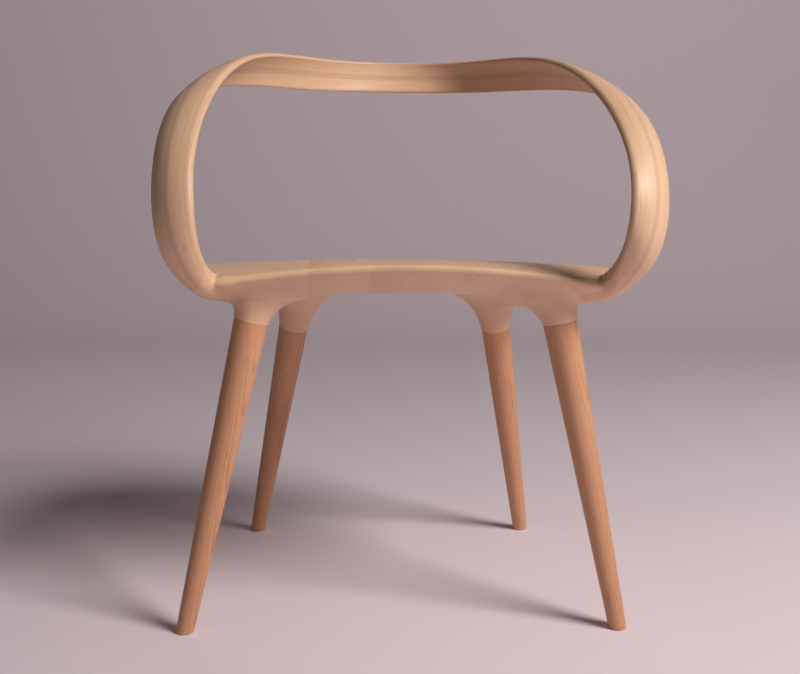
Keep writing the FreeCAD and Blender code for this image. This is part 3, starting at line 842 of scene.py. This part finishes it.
def dress_legs():
    for number, leg in enumerate(LEG_PLACES):
        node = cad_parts[leg.name]
        grain = grain_along(leg.joint, leg.axis, LEG_PITH + LEG_PITH_STEP * number)
        node.data.materials.clear()
        node.data.materials.append(wood("%s_wood" % leg.name, grain, LEG_PALE, LEG_DARK,
                                        LEG_RING_GAP, flecks=LEG_FLECKS, rings=LEG_RINGS))


def dress_dowels():
    for side, sign in (("left", -1), ("right", 1)):
        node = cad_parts["band_dowels_" + side]
        grain = grain_along((0, 0, 0), unit(DOWEL_RUN * (sign, 1, 1)), DOWEL_PITH)
        node.data.materials.clear()
        node.data.materials.append(wood("dowel_wood_" + side, grain, MAPLE_PALE, MAPLE_DARK,
                                        RING_GAP))


# Camera, floor and light

IMAGE_WIDTH = 800
FOCAL_PIXELS = 1138
SENSOR_WIDTH = 36
CAMERA_PLACE = (-0.076, -1.460, 0.550)
CAMERA_YAW = math.radians(2.97)
CAMERA_PITCH = math.radians(8.17)
CAMERA_ROLL = math.radians(0.59)

# The floor is a sweep: level to the bend, then round and up
FLOOR_HALF_WIDTH = 5.0
FLOOR_FRONT = -4.0
FLOOR_BEND = 2.2
FLOOR_RADIUS = 1.4
FLOOR_TOP = 3.2
FLOOR_STEPS = 24
FLOOR_COLOUR = (0.86, 0.735, 0.80, 1)

# Each light's place, what it points at, its size, power and colour
LIGHTS = {
    "key": ((2.18, -1.90, 2.51), (0, 0, 0.42), 1.6, 128, (1.0, 0.97, 0.93)),
    "fill": ((-1.6, -2.0, 1.6), (0, 0, 0.4), 2.0, 1, (1, 1, 1)),
}
WORLD_COLOUR = (1, 0.98, 0.97, 1)
WORLD_STRENGTH = 0.05


def add_camera():
    data = bpy.data.cameras.new("camera")
    data.sensor_fit = "HORIZONTAL"
    data.sensor_width = SENSOR_WIDTH
    data.lens = FOCAL_PIXELS * SENSOR_WIDTH / IMAGE_WIDTH
    camera = bpy.data.objects.new("camera", data)
    level = math.cos(CAMERA_PITCH)
    ahead = Vector((
        math.sin(CAMERA_YAW) * level, math.cos(CAMERA_YAW) * level, -math.sin(CAMERA_PITCH),
    ))
    right = Vector((math.cos(CAMERA_YAW), -math.sin(CAMERA_YAW), 0))
    up = right.cross(ahead)
    turned_right = math.cos(CAMERA_ROLL) * right + math.sin(CAMERA_ROLL) * up
    turned_up = -math.sin(CAMERA_ROLL) * right + math.cos(CAMERA_ROLL) * up
    place = Matrix((turned_right, turned_up, -ahead)).transposed().to_4x4()
    place.translation = CAMERA_PLACE
    camera.matrix_world = place
    bpy.context.scene.collection.objects.link(camera)
    bpy.context.scene.camera = camera


def add_floor():
    """A pale sweep: level under the chair, and curved up far behind it."""
    profile = [(FLOOR_FRONT, 0.0), (FLOOR_BEND, 0.0)]
    for i in range(1, FLOOR_STEPS + 1):
        angle = math.pi / 2 * i / FLOOR_STEPS
        profile.append((FLOOR_BEND + FLOOR_RADIUS * math.sin(angle),
                        FLOOR_RADIUS * (1 - math.cos(angle))))
    profile.append((FLOOR_BEND + FLOOR_RADIUS, FLOOR_TOP))
    verts = [(x, y, z) for y, z in profile for x in (-FLOOR_HALF_WIDTH, FLOOR_HALF_WIDTH)]
    faces = [(2 * i, 2 * i + 1, 2 * i + 3, 2 * i + 2) for i in range(len(profile) - 1)]
    data = bpy.data.meshes.new("floor")
    data.from_pydata(verts, [], faces)
    data.shade_smooth()
    floor = bpy.data.objects.new("floor", data)
    bpy.context.scene.collection.objects.link(floor)
    material = bpy.data.materials.new("floor")
    material.use_nodes = True
    shader = material.node_tree.nodes["Principled BSDF"]
    shader.inputs["Base Color"].default_value = FLOOR_COLOUR
    shader.inputs["Roughness"].default_value = 0.85
    shader.inputs["Specular IOR Level"].default_value = 0.15
    data.materials.append(material)


def add_light(name, place, target, size, power, colour):
    data = bpy.data.lights.new(name, "AREA")
    data.shape = "DISK"
    data.size = size
    data.energy = power
    data.color = colour
    light = bpy.data.objects.new(name, data)
    light.location = place
    light.rotation_mode = "QUATERNION"
    light.rotation_quaternion = (Vector(target) - Vector(place)).to_track_quat("-Z", "Y")
    bpy.context.scene.collection.objects.link(light)


def add_world():
    world = bpy.data.worlds.new("studio")
    world.use_nodes = True
    back = world.node_tree.nodes["Background"]
    back.inputs["Color"].default_value = WORLD_COLOUR
    back.inputs["Strength"].default_value = WORLD_STRENGTH
    bpy.context.scene.world = world


add_carved_form()
dress_legs()
dress_dowels()
add_camera()
add_floor()
add_world()
for light_name, settings in LIGHTS.items():
    add_light(light_name, *settings)
bpy.context.scene.view_settings.view_transform = "Standard"
